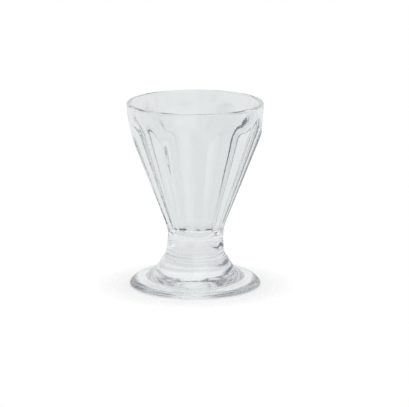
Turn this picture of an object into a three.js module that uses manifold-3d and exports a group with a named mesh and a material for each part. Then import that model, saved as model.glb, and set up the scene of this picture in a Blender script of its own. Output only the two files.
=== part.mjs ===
// Sundae glass in clear pressed glass: a fluted conical bowl, a short solid stem and a
// spreading foot, fused to one another at flat seams. Millimetres, +Z up, the foot's rest
// ring on z = 0, the axis of the glass on Z.

import * as THREE from 'three';
import { mergeVertices } from 'three/addons/utils/BufferGeometryUtils.js';
import Module from 'manifold-3d';

// Heights of the three members, one on top of the other
const FOOT_HEIGHT = 18;
const STEM_HEIGHT = 6.5;
const BOWL_HEIGHT = 92.5;

// Bowl, outside
const RIM_DIAMETER = 86;
const RIM_WALL = 3;
const RIM_ROUND = 1.4;
const BAND_HEIGHT = 21.8;
const BAND_DRAFT = 1.4;
const SHOULDER_ROUND = 25;
const WAIST_DIAMETER = 35.2;
const WAIST_LENGTH = 11.3;
const WAIST_ROUND = 30;

// Bowl, inside
const INNER_DRAFT = 0.8;
const INNER_DRAFT_HEIGHT = 10;
const INNER_SHOULDER_ROUND = 25;
const FLUTE_WALL = 2.4;
const FLOOR_THICKNESS = 6.5;
const FLOOR_ROUND = 11;

// Flutes round the bowl
const FLUTE_COUNT = 9;
const FLUTE_DEPTH_TOP = 3.5;
const FLUTE_DEPTH_WAIST = 1.1;
const FLUTE_CURVE = 110;
const FLUTE_TOP_BELOW_RIM = 8.5;
const FLUTE_TOP_ROUND = 600;
const FLUTE_LOW_HEIGHT = 10.5;
const FLUTE_END_HEIGHT = 2;
const FLUTE_END_ROUND = 7;
const FLUTE_OVERRUN = 8;
const FIRST_RIDGE_DEGREES = -80;

// Seams between the members
const STEM_TOP_DIAMETER = 36;
const STEM_BASE_DIAMETER = 40.8;
const STEM_SWEEP_ROUND = 16;
const SEAM_ROUND = 0.3;

// Foot
const FOOT_DIAMETER = 82.4;
const NECK_DIAMETER = 51.2;
const NECK_HEIGHT = 9.3;
const NECK_ROUND = 12;
const FOOT_SHOULDER_DIAMETER = 68;
const FOOT_SHOULDER_HEIGHT = 6.9;
const FOOT_FULLNESS = 0.75;
const FOOT_EDGE_HEIGHT = 1.5;
const REST_OUTER_DIAMETER = 78.8;
const REST_INNER_DIAMETER = 68;
const HOLLOW_STEP = 1.6;
const HOLLOW_STEP_WIDTH = 3;
const HOLLOW_RISE = 3.4;

// Fineness of the facets
const FACETS_PER_FLUTE = 10;
const PLAIN_SEGMENTS = 72;
const WHEEL_SEGMENTS = 144;
const CHORD_ERROR = 0.05;
const CURVE_STEPS = 6;

const GLASS_COLOUR = 0xdee4e3;

const wasm = await Module();
wasm.setup();

const vector = (r, z) => new THREE.Vector2(r, z);

// Points along a circular arc that rounds a corner, tangent to the straight lines to its neighbours.
function roundedCorner(before, corner, after, radius) {
  const toBefore = before.clone().sub(corner).normalize();
  const toAfter = after.clone().sub(corner).normalize();
  const halfAngle = Math.acos(THREE.MathUtils.clamp(toBefore.dot(toAfter), -1, 1)) / 2;
  const reach = radius / Math.tan(halfAngle);
  const toCentre = toBefore.clone().add(toAfter).normalize();
  const centre = corner.clone().addScaledVector(toCentre, radius / Math.sin(halfAngle));
  const start = corner.clone().addScaledVector(toBefore, reach).sub(centre);
  const end = corner.clone().addScaledVector(toAfter, reach).sub(centre);
  const turn = Math.atan2(start.cross(end), start.dot(end));
  const steps = Math.ceil(Math.abs(turn) / (2 * Math.acos(1 - CHORD_ERROR / radius)));
  const origin = vector(0, 0);
  return Array.from({ length: steps + 1 }, (_, i) =>
    start.clone().rotateAround(origin, (turn * i) / steps).add(centre),
  );
}

// An outline in the plane of radius and height from its corners, each with the radius that
// rounds it, or 0 where it stays sharp.
function outline(corners) {
  return corners.flatMap(({ at, round = 0 }, i) =>
    round > 0 ? roundedCorner(corners[i - 1].at, at, corners[i + 1].at, round) : [at],
  );
}

// The largest radius that fits a corner whose shorter side has the given length.
function fittingRound(before, corner, after, radius, side) {
  const toBefore = before.clone().sub(corner).normalize();
  const toAfter = after.clone().sub(corner).normalize();
  const halfAngle = Math.acos(toBefore.dot(toAfter)) / 2;
  return Math.min(radius, side * Math.tan(halfAngle));
}

// Where the line through a and b meets the line through c and d.
function meet(a, b, c, d) {
  const along = b.clone().sub(a);
  const other = d.clone().sub(c);
  const share = c.clone().sub(a).cross(other) / along.cross(other);
  return a.clone().addScaledVector(along, share);
}

// The point at a height on the line through a and b.
function pointAtHeight(a, b, z) {
  return a.clone().lerp(b, (z - a.y) / (b.y - a.y));
}

// The outline turned round the Z axis, its first facet starting on +X.
function revolve(points, segments) {
  return new THREE.LatheGeometry(points, segments).rotateX(Math.PI / 2).rotateZ(Math.PI / 2);
}

function toSolid(geometry) {
  const bare = geometry.clone();
  bare.deleteAttribute('normal');
  bare.deleteAttribute('uv');
  const merged = mergeVertices(bare);
  return new wasm.Manifold(
    new wasm.Mesh({
      numProp: 3,
      vertProperties: new Float32Array(merged.attributes.position.array),
      triVerts: new Uint32Array(merged.index.array),
    }),
  );
}

function toGeometry(solid) {
  const mesh = solid.getMesh();
  const geometry = new THREE.BufferGeometry();
  geometry.setAttribute('position', new THREE.BufferAttribute(mesh.vertProperties, 3));
  geometry.setIndex(new THREE.BufferAttribute(mesh.triVerts, 1));
  geometry.computeVertexNormals();
  return geometry;
}

function glassPiece(name, geometry, baseHeight) {
  const material = new THREE.MeshStandardMaterial({
    color: GLASS_COLOUR,
    roughness: 0.05,
    metalness: 0,
    transparent: true,
    opacity: 0.35,
  });
  const mesh = new THREE.Mesh(geometry, material);
  mesh.name = name;
  mesh.position.z = baseHeight;
  return mesh;
}

// The bowl's ridge line: up from the stem, along the straight cone and up the rim band.
const seamEdge = vector(STEM_TOP_DIAMETER / 2, 0);
const waistCorner = vector(WAIST_DIAMETER / 2, WAIST_LENGTH);
const shoulderCorner = vector(RIM_DIAMETER / 2 - BAND_DRAFT, BOWL_HEIGHT - BAND_HEIGHT);
const rimOuter = vector(RIM_DIAMETER / 2, BOWL_HEIGHT);

// The floor of a flute, the line that its deepest points follow: out of the waist at its end, up
// the cone below the ridges, and out into the rim band at its top.
const fluteEnd = pointAtHeight(seamEdge, waistCorner, FLUTE_END_HEIGHT);
const floorLow = vector(waistCorner.x - FLUTE_DEPTH_WAIST, FLUTE_LOW_HEIGHT);
const floorHigh = shoulderCorner.clone().sub(vector(FLUTE_DEPTH_TOP, 0));
const fluteTop = pointAtHeight(shoulderCorner, rimOuter, BOWL_HEIGHT - FLUTE_TOP_BELOW_RIM);
const floorAlong = floorHigh.clone().sub(floorLow).normalize();
const floorOutward = vector(floorAlong.y, -floorAlong.x);

// A flute is the cut of a wheel that stands beside the glass, its edge shaped like the flute's
// floor. Where the floor runs out into the rim band, the cut ends in an arch.
function fluteWheel(turn) {
  const axis = floorHigh.x + FLUTE_CURVE;
  const under = pointAtHeight(floorLow, fluteEnd, fluteEnd.y - FLUTE_OVERRUN);
  const over = pointAtHeight(floorHigh, fluteTop, fluteTop.y + FLUTE_OVERRUN);
  const floor = outline([
    { at: under },
    { at: floorLow, round: FLUTE_END_ROUND },
    { at: floorHigh, round: FLUTE_TOP_ROUND },
    { at: over },
  ]);
  const edge = floor.map((point) => vector(axis - point.x, point.y));
  return revolve([vector(0, under.y), ...edge, vector(0, over.y)], WHEEL_SEGMENTS)
    .translate(axis, 0, 0)
    .rotateZ(turn);
}

function bowlGeometry() {
  const rimInner = vector(RIM_DIAMETER / 2 - RIM_WALL, BOWL_HEIGHT);
  const innerBandFoot = rimInner.clone().sub(vector(INNER_DRAFT, INNER_DRAFT_HEIGHT));
  const wallLow = floorLow.clone().addScaledVector(floorOutward, -FLUTE_WALL);
  const wallHigh = floorHigh.clone().addScaledVector(floorOutward, -FLUTE_WALL);
  const innerShoulder = meet(rimInner, innerBandFoot, wallLow, wallHigh);
  const floorCorner = pointAtHeight(wallLow, wallHigh, FLOOR_THICKNESS);
  const floorCentre = vector(0, FLOOR_THICKNESS);
  const floorRound = fittingRound(innerShoulder, floorCorner, floorCentre, FLOOR_ROUND, floorCorner.x);
  const wall = outline([
    { at: vector(0, 0) },
    { at: seamEdge, round: SEAM_ROUND },
    { at: waistCorner, round: WAIST_ROUND },
    { at: shoulderCorner, round: SHOULDER_ROUND },
    { at: rimOuter, round: RIM_ROUND },
    { at: rimInner, round: RIM_ROUND },
    { at: innerShoulder, round: INNER_SHOULDER_ROUND },
    { at: floorCorner, round: floorRound },
    { at: floorCentre },
  ]);
  const firstRidge = THREE.MathUtils.degToRad(FIRST_RIDGE_DEGREES);
  const pitch = (2 * Math.PI) / FLUTE_COUNT;
  let solid = toSolid(revolve(wall, FLUTE_COUNT * FACETS_PER_FLUTE).rotateZ(firstRidge));
  for (let i = 0; i < FLUTE_COUNT; i++) {
    solid = solid.subtract(toSolid(fluteWheel(firstRidge + (i + 0.5) * pitch)));
  }
  return toGeometry(solid);
}

// The stem: a short solid neck that sweeps from the waist out to the foot.
function stemGeometry() {
  const base = vector(STEM_BASE_DIAMETER / 2, 0);
  const top = vector(STEM_TOP_DIAMETER / 2, STEM_HEIGHT);
  const sweep = vector(top.x, STEM_HEIGHT / 2);
  const neck = outline([
    { at: vector(0, 0) },
    { at: base, round: SEAM_ROUND },
    { at: sweep, round: fittingRound(base, sweep, top, STEM_SWEEP_ROUND, STEM_HEIGHT / 2 - SEAM_ROUND) },
    { at: top, round: SEAM_ROUND },
    { at: vector(0, STEM_HEIGHT) },
  ]);
  return revolve(neck, PLAIN_SEGMENTS);
}

// The foot: a rest ring round a shallow hollow, a full rounded edge, and a crown that sweeps up
// to the stem.
function footGeometry() {
  const hollowCentre = vector(0, HOLLOW_RISE);
  const hollowEdge = vector(REST_INNER_DIAMETER / 2 - HOLLOW_STEP_WIDTH, HOLLOW_STEP);
  const restInner = vector(REST_INNER_DIAMETER / 2, 0);
  const restOuter = vector(REST_OUTER_DIAMETER / 2, 0);
  const edge = vector(FOOT_DIAMETER / 2, FOOT_EDGE_HEIGHT);
  const shoulder = vector(FOOT_SHOULDER_DIAMETER / 2, FOOT_SHOULDER_HEIGHT);
  const neck = vector(NECK_DIAMETER / 2, NECK_HEIGHT);
  const crownRadius = shoulder.x + FOOT_FULLNESS * (edge.x - shoulder.x);
  const crown = neck.clone().lerp(shoulder, (crownRadius - neck.x) / (shoulder.x - neck.x));
  const seamEdge = vector(STEM_BASE_DIAMETER / 2, FOOT_HEIGHT);
  const hollow = new THREE.QuadraticBezierCurve(hollowCentre, vector(hollowEdge.x / 2, HOLLOW_RISE), hollowEdge);
  const underEdge = new THREE.QuadraticBezierCurve(restOuter, vector(edge.x, 0), edge);
  const overEdge = new THREE.QuadraticBezierCurve(edge, crown, shoulder);
  const crownOutline = outline([
    { at: shoulder },
    { at: neck, round: NECK_ROUND },
    { at: seamEdge, round: SEAM_ROUND },
    { at: vector(0, FOOT_HEIGHT) },
  ]);
  const profile = [
    ...hollow.getPoints(CURVE_STEPS),
    restInner,
    ...underEdge.getPoints(CURVE_STEPS / 2),
    ...overEdge.getPoints(CURVE_STEPS).slice(1, -1),
    ...crownOutline,
  ];
  return revolve(profile, PLAIN_SEGMENTS);
}

const sundaeGlass = new THREE.Group();
sundaeGlass.add(glassPiece('foot', footGeometry(), 0));
sundaeGlass.add(glassPiece('stem', stemGeometry(), FOOT_HEIGHT));
sundaeGlass.add(glassPiece('bowl', bowlGeometry(), FOOT_HEIGHT + STEM_HEIGHT));

export default sundaeGlass;
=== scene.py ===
# Sundae glass in clear pressed glass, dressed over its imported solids. Metres, the solids' own frame.
import math

import bmesh
import bpy
from mathutils import Matrix, Vector
from mathutils.geometry import interpolate_bezier


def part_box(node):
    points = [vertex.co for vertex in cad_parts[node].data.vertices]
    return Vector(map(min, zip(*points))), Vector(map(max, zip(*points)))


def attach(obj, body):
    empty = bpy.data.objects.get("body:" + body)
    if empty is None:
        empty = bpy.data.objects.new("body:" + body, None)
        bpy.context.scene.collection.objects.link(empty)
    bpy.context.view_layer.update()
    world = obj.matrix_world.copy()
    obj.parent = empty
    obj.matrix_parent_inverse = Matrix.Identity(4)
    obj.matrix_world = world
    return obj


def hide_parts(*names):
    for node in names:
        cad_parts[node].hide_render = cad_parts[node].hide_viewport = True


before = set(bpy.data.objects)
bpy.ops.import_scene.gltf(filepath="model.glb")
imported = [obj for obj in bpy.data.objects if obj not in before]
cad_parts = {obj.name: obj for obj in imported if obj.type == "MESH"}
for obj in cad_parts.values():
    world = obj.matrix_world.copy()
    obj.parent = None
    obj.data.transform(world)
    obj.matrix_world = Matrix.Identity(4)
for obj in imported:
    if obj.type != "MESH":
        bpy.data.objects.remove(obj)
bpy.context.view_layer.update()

MM = 0.001
FULL_TURN = 2 * math.pi

# Heights that the solids give
FOOT_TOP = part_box("foot")[1].z
STEM_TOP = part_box("stem")[1].z
RIM_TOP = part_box("bowl")[1].z

# Bowl, outside: a point of an outline is its radius, 0 and its height
RIM_RADIUS = 43 * MM
RIM_WALL = 3 * MM
RIM_ROUND = 1.4 * MM
SHOULDER = Vector((41.6 * MM, 0, RIM_TOP - 21.8 * MM))
SHOULDER_ROUND = 25 * MM
WAIST = Vector((17.6 * MM, 0, STEM_TOP + 11.3 * MM))
WAIST_ROUND = 30 * MM

# Bowl, inside
INNER_BAND_FOOT = Vector((39.2 * MM, 0, RIM_TOP - 10 * MM))
INNER_SHOULDER_ROUND = 25 * MM
FLUTE_WALL = 2.4 * MM
BOWL_FLOOR_HEIGHT = STEM_TOP + 6.5 * MM
BOWL_FLOOR_ROUND = 11 * MM

# Flutes: the curve is the hollow's radius at the shoulder, and surfaces closer than a softness blend
FLUTE_COUNT = 9
FLUTE_DEPTH_TOP = 3.5 * MM
FLUTE_DEPTH_WAIST = 1.1 * MM
FLUTE_CURVE = 110 * MM
FLUTE_TOP_HEIGHT = RIM_TOP - 8.5 * MM
FLUTE_LOW_HEIGHT = STEM_TOP + 10.5 * MM
FLUTE_END_HEIGHT = STEM_TOP + 2 * MM
FLUTE_TOP_SOFTNESS = 0.3 * MM
FLUTE_END_SOFTNESS = 2.5 * MM
FIRST_RIDGE = math.radians(-80)
EDGE_SOFTNESS = 1 * MM

# Stem and foot: the fullness is how far towards the edge the slope of the foot's top is carried
STEM_TOP_RADIUS = 18 * MM
STEM_BASE_RADIUS = 20.4 * MM
SEAM_ROUND = 0.3 * MM
NECK = Vector((25.6 * MM, 0, 9.3 * MM))
NECK_ROUND = 12 * MM
FOOT_SHOULDER = Vector((34 * MM, 0, 6.9 * MM))
FOOT_FULLNESS = 0.75
FOOT_EDGE = Vector((41.2 * MM, 0, 1.5 * MM))
REST_OUTER = Vector((39.4 * MM, 0, 0))
REST_INNER = Vector((34 * MM, 0, 0))
HOLLOW_EDGE = Vector((31 * MM, 0, 1.6 * MM))
HOLLOW_RISE = 3.4 * MM

# Glass: its waviness, and the heights between which the foot's dull underside turns clear
GLASS_COLOUR = "#fbfcfc"
GLASS_IOR = 1.52
WAVE_SPACING = 7 * MM
WAVE_HEIGHT = 0.05 * MM
BASE_ROUGHNESS = 0.12
BASE_DULL_FULL = 3.5 * MM
BASE_DULL_END = 4.2 * MM

# Stage floor, and how it changes with the distance from the glass: start, end, value before, value after. In
# the glass the floor glows, with a painted shadow by the foot and painted shade far away
FLOOR_RADIUS = 3000 * MM
FLOOR_SIDES = 96
FLOOR_DROP = 0.1 * MM
FLOOR_COLOUR = "#fefefe"
FLOOR_IN_GLASS = "#eaecec"
FLOOR_RAMPS = {
    "shadow_fade": (44 * MM, 64 * MM, 0.6, 1.0),
    # painted shadow of the glass: the floor's glow in the glass is darker near the foot
    "painted_shadow_by_foot": (45 * MM, 110 * MM, 0.92, 1.0),
    # painted shade: the floor's glow in the glass is darker far away
    "painted_shade_far_away": (450 * MM, 1700 * MM, 1.0, 0.76),
    "edge_fade": (2400 * MM, FLOOR_RADIUS, 0.0, 1.0),
}

# Cards round the glass, as middle and half width in degrees from straight behind it, plus to the right
BRIGHT_CARDS = [(20, 56), (157, 30)]
LOW_CARD = (-95, 32)
CARD_SOFTNESS = 10
PALE_CARD = "#f7f9f9"
DARK_CARD = "#55566a"
WHITE = "#ffffff"

# How the cards change with their height in degrees: start, end, value before, value after
CARD_RAMPS = {
    "low_card": (4, 12, 1.0, 0.0),
    "horizon": (0, 9, 0.7, 1.0),
}

# Camera: where it stands, its sensor in mm, and the pixel of the photograph's frame that shows the middle
PHOTO_WIDTH = 409
PHOTO_HEIGHT = 407
CAMERA_DISTANCE = 2200 * MM
CAMERA_ELEVATION = math.radians(12.2)
CAMERA_REACH = 100
SENSOR_WIDTH = 36
PIXELS_PER_METRE = 1593
MIDDLE_PIXEL = (195.14, 193.35)
MIDDLE = Vector((0, 0, RIM_TOP / 2))

# Fineness of the meshes, and how many surfaces a ray may meet
TURN_STEPS = 360
FLUTED_ROW = 0.8 * MM
PLAIN_ROW = 2 * MM
ROUND_SEGMENTS = 12
MERGE_DISTANCE = 0.001 * MM
SEAM_TOLERANCE = 0.01 * MM
GLASS_BOUNCES = 32
MIRROR_BOUNCES = 16


def linear(hex_colour):
    """An sRGB hex colour as the linear colour with alpha that a socket takes."""
    parts = [int(hex_colour[i : i + 2], 16) / 255 for i in (1, 3, 5)]
    return [c / 12.92 if c <= 0.04045 else ((c + 0.055) / 1.055) ** 2.4 for c in parts] + [1]


def add_node(tree, kind, links=(), **settings):
    """Adds a node: settings are its properties, or its sockets' values as in_ with a number or a name."""
    node = tree.nodes.new(kind)
    for name, value in settings.items():
        if name.startswith("in_"):
            key = name[3:]
            node.inputs[int(key) if key.isdigit() else key.replace("_", " ")].default_value = value
        else:
            setattr(node, name, value)
    for source, socket in links:
        tree.links.new(source, node.inputs[socket])
    return node


def new_material(name):
    """A material and its node tree, still empty."""
    material = bpy.data.materials.new(name)
    material.use_nodes = True
    material.node_tree.nodes.clear()
    return material, material.node_tree


def new_object(bm, name, materials):
    """Puts the finished mesh into the scene as an object."""
    mesh = bpy.data.meshes.new(name)
    bm.to_mesh(mesh)
    bm.free()
    for material in materials:
        mesh.materials.append(material)
    thing = bpy.data.objects.new(name, mesh)
    bpy.context.scene.collection.objects.link(thing)
    return thing


# Outlines in the plane of radius (x) and height (z)


def corner_angle(before, corner, after):
    return (before - corner).angle(after - corner)


def draw_outline(bm, corners):
    """Draws a chain of edges through (point, rounding radius) corners and rounds each corner."""
    points = [point for point, _ in corners]
    verts = [bm.verts.new(point) for point in points]
    for first, second in zip(verts, verts[1:]):
        bm.edges.new((first, second))
    for i, (point, radius) in enumerate(corners):
        if radius:
            half = corner_angle(points[i - 1], point, points[i + 1]) / 2
            bmesh.ops.bevel(
                bm,
                geom=[verts[i]],
                affect="VERTICES",
                offset=radius / math.tan(half),
                offset_type="OFFSET",
                segments=ROUND_SEGMENTS,
                profile=0.5,
                material=-1,
                clamp_overlap=False,
            )


def curve_points(start, control, end):
    """Points along a curve that leaves start and reaches end towards the same control point."""
    first = start.lerp(control, 2 / 3)
    second = end.lerp(control, 2 / 3)
    return interpolate_bezier(start, first, second, end, ROUND_SEGMENTS)


def split_rows(bm, longest):
    """Splits the outline's long edges, so that no row of the spun surface is higher than longest."""
    for edge in list(bm.edges):
        cuts = int(edge.calc_length() / longest)
        if cuts:
            bmesh.ops.subdivide_edges(bm, edges=[edge], cuts=cuts)


def spin_outline(bm):
    """Turns the outline once round the axis of the glass."""
    bmesh.ops.spin(
        bm,
        geom=bm.verts[:] + bm.edges[:],
        cent=(0, 0, 0),
        axis=(0, 0, 1),
        angle=FULL_TURN,
        steps=TURN_STEPS,
        use_merge=True,
    )


def spun(corners, longest):
    bm = bmesh.new()
    draw_outline(bm, corners)
    split_rows(bm, longest)
    spin_outline(bm)
    return bm


def height_on(low, high, height):
    """The point at that height on the line through two points."""
    return low.lerp(high, (height - low.z) / (high.z - low.z))


def line_meet(a, b, c, d):
    """Where the line through a and b meets the line through c and d."""
    along = b - a
    other = d - c
    gap = c - a
    share = (gap.x * other.z - gap.z * other.x) / (along.x * other.z - along.z * other.x)
    return a + along * share


# Flutes: each is hollowed as by a wheel standing beside the glass, its edge shaped like the flute's floor

STEM_EDGE = Vector((STEM_TOP_RADIUS, 0, STEM_TOP))
RIM_EDGE = Vector((RIM_RADIUS, 0, RIM_TOP))
FLUTE_FLOOR_LOW = Vector((WAIST.x - FLUTE_DEPTH_WAIST, 0, FLUTE_LOW_HEIGHT))
FLUTE_FLOOR_HIGH = SHOULDER - Vector((FLUTE_DEPTH_TOP, 0, 0))
FLUTE_TOP = height_on(SHOULDER, RIM_EDGE, FLUTE_TOP_HEIGHT)
FLUTE_END = height_on(STEM_EDGE, WAIST, FLUTE_END_HEIGHT)
WHEEL_AXIS = FLUTE_FLOOR_HIGH.x + FLUTE_CURVE


def soft_least(a, b, softness):
    """The lesser of two numbers, rounded off where they meet."""
    share = max(softness - abs(a - b), 0) / softness
    return min(a, b) - share * share * softness / 4


def flute_floor_radius(height):
    """How far the middle of a flute lies from the axis of the glass."""
    flank = height_on(FLUTE_FLOOR_LOW, FLUTE_FLOOR_HIGH, height).x
    run_out = height_on(FLUTE_FLOOR_HIGH, FLUTE_TOP, height).x
    end = height_on(FLUTE_END, FLUTE_FLOOR_LOW, height).x
    upper = soft_least(flank, run_out, FLUTE_TOP_SOFTNESS)
    return -soft_least(-upper, -end, FLUTE_END_SOFTNESS)


def flute_radius(turn, height):
    """Where the wheel begins, going out from the axis at that turn from the flute's middle."""
    aside = WHEEL_AXIS * math.sin(turn)
    wheel_radius = WHEEL_AXIS - flute_floor_radius(height)
    if wheel_radius <= aside:
        return math.inf
    return WHEEL_AXIS * math.cos(turn) - math.sqrt(wheel_radius**2 - aside**2)


def press_flutes(bm):
    """Moves the outer skin in to the flutes' surface, with soft ridges between the flutes."""
    pitch = FULL_TURN / FLUTE_COUNT
    for vert in bm.verts:
        radius = math.hypot(vert.co.x, vert.co.y)
        if radius < FLUTE_FLOOR_LOW.x / 2:
            continue
        turn = abs((math.atan2(vert.co.y, vert.co.x) - FIRST_RIDGE) % pitch - pitch / 2)
        near = flute_radius(turn, vert.co.z)
        far = flute_radius(pitch - turn, vert.co.z)
        share = soft_least(radius, soft_least(near, far, EDGE_SOFTNESS), EDGE_SOFTNESS) / radius
        vert.co.x *= share
        vert.co.y *= share


# The pieces


def on_seam(face, height):
    return all(abs(vert.co.z - height) < SEAM_TOLERANCE for vert in face.verts)


def finish_piece(bm, name, node, seam_heights):
    """Makes the object: clear glass, with the fused seams at the given heights left invisible."""
    bmesh.ops.remove_doubles(bm, verts=bm.verts[:], dist=MERGE_DISTANCE)
    bmesh.ops.recalc_face_normals(bm, faces=bm.faces[:])
    for face in bm.faces:
        fused = any(on_seam(face, height) for height in seam_heights)
        face.material_index = 1 if fused else 0
        face.smooth = not fused
    piece = new_object(bm, name, [PRESSED_GLASS, FUSED_SEAM])
    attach(piece, "root")
    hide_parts(node)


def make_bowl():
    rim_middle = Vector((RIM_RADIUS - RIM_WALL / 2, 0, RIM_TOP))
    rim_inner = Vector((RIM_RADIUS - RIM_WALL, 0, RIM_TOP))
    wall_along = (FLUTE_FLOOR_HIGH - FLUTE_FLOOR_LOW).normalized()
    wall = Vector((wall_along.z, 0, -wall_along.x)) * FLUTE_WALL
    wall_low = FLUTE_FLOOR_LOW - wall
    wall_high = FLUTE_FLOOR_HIGH - wall
    inner_shoulder = line_meet(rim_inner, INNER_BAND_FOOT, wall_low, wall_high)
    floor_centre = Vector((0, 0, BOWL_FLOOR_HEIGHT))
    floor_edge = line_meet(floor_centre, floor_centre + Vector((1, 0, 0)), wall_low, wall_high)
    outer = spun(
        [
            (Vector((0, 0, STEM_TOP)), 0),
            (STEM_EDGE, SEAM_ROUND),
            (WAIST, WAIST_ROUND),
            (SHOULDER, SHOULDER_ROUND),
            (RIM_EDGE, RIM_ROUND),
            (rim_middle, 0),
        ],
        FLUTED_ROW,
    )
    press_flutes(outer)
    inner = spun(
        [
            (rim_middle, 0),
            (rim_inner, RIM_ROUND),
            (inner_shoulder, INNER_SHOULDER_ROUND),
            (floor_edge, BOWL_FLOOR_ROUND),
            (floor_centre, 0),
        ],
        PLAIN_ROW,
    )
    inner_mesh = bpy.data.meshes.new("bowl_inside")
    inner.to_mesh(inner_mesh)
    inner.free()
    outer.from_mesh(inner_mesh)
    bpy.data.meshes.remove(inner_mesh)
    finish_piece(outer, "pressed_bowl", "bowl", [STEM_TOP])


def make_stem():
    base = Vector((STEM_BASE_RADIUS, 0, FOOT_TOP))
    sweep = Vector((STEM_TOP_RADIUS, 0, (FOOT_TOP + STEM_TOP) / 2))
    half = corner_angle(base, sweep, STEM_EDGE) / 2
    sweep_round = ((STEM_TOP - FOOT_TOP) / 2 - SEAM_ROUND) * math.tan(half)
    stem = spun(
        [
            (Vector((0, 0, FOOT_TOP)), 0),
            (base, SEAM_ROUND),
            (sweep, sweep_round),
            (STEM_EDGE, SEAM_ROUND),
            (Vector((0, 0, STEM_TOP)), 0),
        ],
        PLAIN_ROW,
    )
    finish_piece(stem, "solid_stem", "stem", [FOOT_TOP, STEM_TOP])


def make_foot():
    hollow_centre = Vector((0, 0, HOLLOW_RISE))
    crown_x = FOOT_SHOULDER.x + FOOT_FULLNESS * (FOOT_EDGE.x - FOOT_SHOULDER.x)
    crown = NECK.lerp(FOOT_SHOULDER, (crown_x - NECK.x) / (FOOT_SHOULDER.x - NECK.x))
    hollow = curve_points(hollow_centre, Vector((HOLLOW_EDGE.x / 2, 0, HOLLOW_RISE)), HOLLOW_EDGE)
    under_edge = curve_points(REST_OUTER, Vector((FOOT_EDGE.x, 0, 0)), FOOT_EDGE)
    over_edge = curve_points(FOOT_EDGE, crown, FOOT_SHOULDER)
    smooth_run = [*hollow, REST_INNER, *under_edge, *over_edge[1:]]
    foot = spun(
        [(point, 0) for point in smooth_run]
        + [
            (NECK, NECK_ROUND),
            (Vector((STEM_BASE_RADIUS, 0, FOOT_TOP)), SEAM_ROUND),
            (Vector((0, 0, FOOT_TOP)), 0),
        ],
        PLAIN_ROW,
    )
    finish_piece(foot, "spreading_foot", "foot", [FOOT_TOP])


# Materials


def pressed_glass():
    """Soda-lime glass, pressed and fire-polished: clear, with a cool grey cast and a slow waviness.

    The underside of the foot is a little dull.
    """
    material, tree = new_material("pressed_soda_lime_glass")
    place = add_node(tree, "ShaderNodeTexCoord").outputs["Object"]
    wave = add_node(
        tree, "ShaderNodeTexNoise", [(place, "Vector")], in_Scale=1 / WAVE_SPACING, in_Detail=2.0
    )
    bump = add_node(
        tree, "ShaderNodeBump", [(wave.outputs["Fac"], "Height")], in_Strength=1.0, in_Distance=WAVE_HEIGHT
    )
    height = add_node(tree, "ShaderNodeSeparateXYZ", [(place, "Vector")]).outputs["Z"]
    dull = add_node(
        tree,
        "ShaderNodeMapRange",
        [(height, "Value")],
        interpolation_type="SMOOTHSTEP",
        in_1=BASE_DULL_FULL,
        in_2=BASE_DULL_END,
        in_3=BASE_ROUGHNESS,
        in_4=0.0,
    )
    shader = add_node(
        tree,
        "ShaderNodeBsdfPrincipled",
        [(bump.outputs["Normal"], "Normal"), (dull.outputs[0], "Roughness")],
        in_Base_Color=linear(GLASS_COLOUR),
        in_IOR=GLASS_IOR,
        in_Transmission_Weight=1.0,
    )
    add_node(tree, "ShaderNodeOutputMaterial", [(shader.outputs["BSDF"], "Surface")])
    return material


def fused_seam():
    """Where two members are fused there is no surface: light passes straight on."""
    material, tree = new_material("fused_glass_seam")
    shader = add_node(tree, "ShaderNodeBsdfTransparent")
    add_node(tree, "ShaderNodeOutputMaterial", [(shader.outputs["BSDF"], "Surface")])
    return material


def matt_white_card():
    """Matt white card that keeps the shadow by the foot and fades into the white backdrop.

    Through the glass it glows instead, with a painted shadow by the foot and painted shade that darkens it
    far away.
    """
    material, tree = new_material("matt_white_card")
    place = add_node(tree, "ShaderNodeTexCoord").outputs["Object"]
    distance = add_node(tree, "ShaderNodeVectorMath", [(place, 0)], operation="LENGTH").outputs["Value"]
    ramp = {
        name: add_node(
            tree,
            "ShaderNodeMapRange",
            [(distance, "Value")],
            interpolation_type="SMOOTHSTEP",
            in_1=start,
            in_2=end,
            in_3=before,
            in_4=after,
        ).outputs[0]
        for name, (start, end, before, after) in FLOOR_RAMPS.items()
    }
    beyond = add_node(tree, "ShaderNodeBsdfTransparent")
    matt = add_node(tree, "ShaderNodeBsdfDiffuse", in_Color=linear(FLOOR_COLOUR))
    shaded = add_node(
        tree, "ShaderNodeMixShader", [(ramp["shadow_fade"], 0), (matt.outputs[0], 1), (beyond.outputs[0], 2)]
    )
    # strength of the floor's glow in the glass: painted shadow by the foot times painted shade far away
    painted_shade_level = add_node(
        tree, "ShaderNodeMath", [(ramp["painted_shadow_by_foot"], 0), (ramp["painted_shade_far_away"], 1)], operation="MULTIPLY"
    )
    painted_floor_glow = add_node(
        tree, "ShaderNodeEmission", [(painted_shade_level.outputs[0], "Strength")], in_Color=linear(FLOOR_IN_GLASS)
    )
    painted_floor_in_glass = add_node(
        tree, "ShaderNodeMixShader", [(ramp["edge_fade"], 0), (painted_floor_glow.outputs[0], 1), (beyond.outputs[0], 2)]
    )
    path = add_node(tree, "ShaderNodeLightPath")
    through_glass = add_node(
        tree,
        "ShaderNodeMath",
        [(path.outputs["Is Transmission Ray"], 0), (path.outputs["Is Glossy Ray"], 1)],
        operation="MAXIMUM",
    )
    card = add_node(
        tree,
        "ShaderNodeMixShader",
        [(through_glass.outputs[0], 0), (shaded.outputs[0], 1), (painted_floor_in_glass.outputs[0], 2)],
    )
    add_node(tree, "ShaderNodeOutputMaterial", [(card.outputs[0], "Surface")])
    return material


# The stage: a pale floor, soft light all round with pale and dark cards in it, and the camera


def make_floor():
    bm = bmesh.new()
    drop = Matrix.Translation((0, 0, -FLOOR_DROP))
    bmesh.ops.create_circle(bm, cap_ends=True, radius=FLOOR_RADIUS, segments=FLOOR_SIDES, matrix=drop)
    floor = new_object(bm, "pale_floor", [matt_white_card()])


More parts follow.
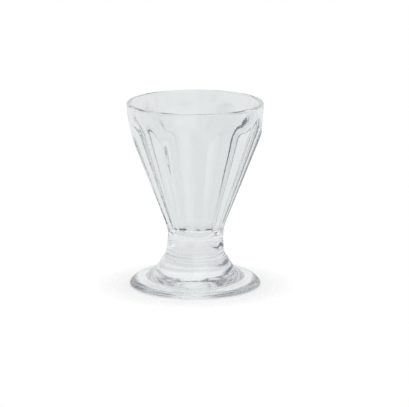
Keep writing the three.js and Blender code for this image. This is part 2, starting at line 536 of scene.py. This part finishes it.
def card_share(tree, turn, middle, half_width):
    """1 round the middle turn and 0 elsewhere, with a soft change half_width degrees to either side."""
    away = add_node(
        tree, "ShaderNodeMath", [(turn, 0)], operation="SUBTRACT", in_1=math.radians(middle)
    )
    wrapped = add_node(
        tree, "ShaderNodeMath", [(away.outputs[0], 0)], operation="WRAP", in_1=math.pi, in_2=-math.pi
    )
    offset = add_node(tree, "ShaderNodeMath", [(wrapped.outputs[0], 0)], operation="ABSOLUTE")
    return add_node(
        tree,
        "ShaderNodeMapRange",
        [(offset.outputs[0], "Value")],
        interpolation_type="SMOOTHSTEP",
        in_1=math.radians(half_width - CARD_SOFTNESS),
        in_2=math.radians(half_width + CARD_SOFTNESS),
        in_3=1.0,
        in_4=0.0,
    ).outputs[0]


def make_light():
    """White all round for the floor and the camera. In the glass the pale and dark cards show instead.

    The pale cards are dimmer towards the horizon, where they meet the far floor.
    """
    world = bpy.data.worlds.new("soft_studio")
    bpy.context.scene.world = world
    world.use_nodes = True
    tree = world.node_tree
    tree.nodes.clear()
    direction = add_node(tree, "ShaderNodeTexCoord").outputs["Generated"]
    parts = add_node(tree, "ShaderNodeSeparateXYZ", [(direction, "Vector")])
    turn = add_node(
        tree,
        "ShaderNodeMath",
        [(parts.outputs["X"], 0), (parts.outputs["Y"], 1)],
        operation="ARCTAN2",
    ).outputs[0]
    ramp = {
        name: add_node(
            tree,
            "ShaderNodeMapRange",
            [(parts.outputs["Z"], "Value")],
            interpolation_type="SMOOTHSTEP",
            in_1=math.sin(math.radians(start)),
            in_2=math.sin(math.radians(end)),
            in_3=before,
            in_4=after,
        ).outputs[0]
        for name, (start, end, before, after) in CARD_RAMPS.items()
    }
    low_card = add_node(
        tree,
        "ShaderNodeMath",
        [(ramp["low_card"], 0), (card_share(tree, turn, *LOW_CARD), 1)],
        operation="MULTIPLY",
    )
    pale = low_card.outputs[0]
    for bright_card in BRIGHT_CARDS:
        share = card_share(tree, turn, *bright_card)
        pale = add_node(tree, "ShaderNodeMath", [(pale, 0), (share, 1)], operation="MAXIMUM").outputs[0]
    dimmed = add_node(tree, "ShaderNodeMath", [(pale, 0), (ramp["horizon"], 1)], operation="MULTIPLY")
    cards = add_node(
        tree,
        "ShaderNodeMix",
        [(dimmed.outputs[0], 0)],
        data_type="RGBA",
        in_6=linear(DARK_CARD),
        in_7=linear(PALE_CARD),
    )
    path = add_node(tree, "ShaderNodeLightPath")
    plain = add_node(
        tree,
        "ShaderNodeMath",
        [(path.outputs["Is Camera Ray"], 0), (path.outputs["Is Diffuse Ray"], 1)],
        operation="MAXIMUM",
    )
    studio = add_node(
        tree,
        "ShaderNodeMix",
        [(plain.outputs[0], 0), (cards.outputs[2], 6)],
        data_type="RGBA",
        in_7=linear(WHITE),
    )
    background = add_node(tree, "ShaderNodeBackground", [(studio.outputs[2], "Color")])
    add_node(tree, "ShaderNodeOutputWorld", [(background.outputs[0], "Surface")])


def make_camera():
    data = bpy.data.cameras.new("camera")
    data.sensor_width = SENSOR_WIDTH
    data.lens = PIXELS_PER_METRE * CAMERA_DISTANCE / PHOTO_WIDTH * SENSOR_WIDTH
    data.shift_x = (PHOTO_WIDTH / 2 - MIDDLE_PIXEL[0]) / PHOTO_WIDTH
    data.shift_y = (MIDDLE_PIXEL[1] - PHOTO_HEIGHT / 2) / PHOTO_WIDTH
    data.clip_end = CAMERA_REACH
    camera = bpy.data.objects.new("camera", data)
    back = Vector((0, -math.cos(CAMERA_ELEVATION), math.sin(CAMERA_ELEVATION)))
    camera.location = MIDDLE + back * CAMERA_DISTANCE
    camera.rotation_euler = (-back).to_track_quat("-Z", "Y").to_euler()
    bpy.context.scene.collection.objects.link(camera)
    bpy.context.scene.camera = camera


PRESSED_GLASS = pressed_glass()
FUSED_SEAM = fused_seam()

make_bowl()
make_stem()
make_foot()
make_floor()
make_light()
make_camera()

bpy.context.scene.view_settings.view_transform = "Standard"
bpy.context.scene.cycles.max_bounces = GLASS_BOUNCES
bpy.context.scene.cycles.transmission_bounces = GLASS_BOUNCES
bpy.context.scene.cycles.transparent_max_bounces = GLASS_BOUNCES
bpy.context.scene.cycles.glossy_bounces = MIRROR_BOUNCES
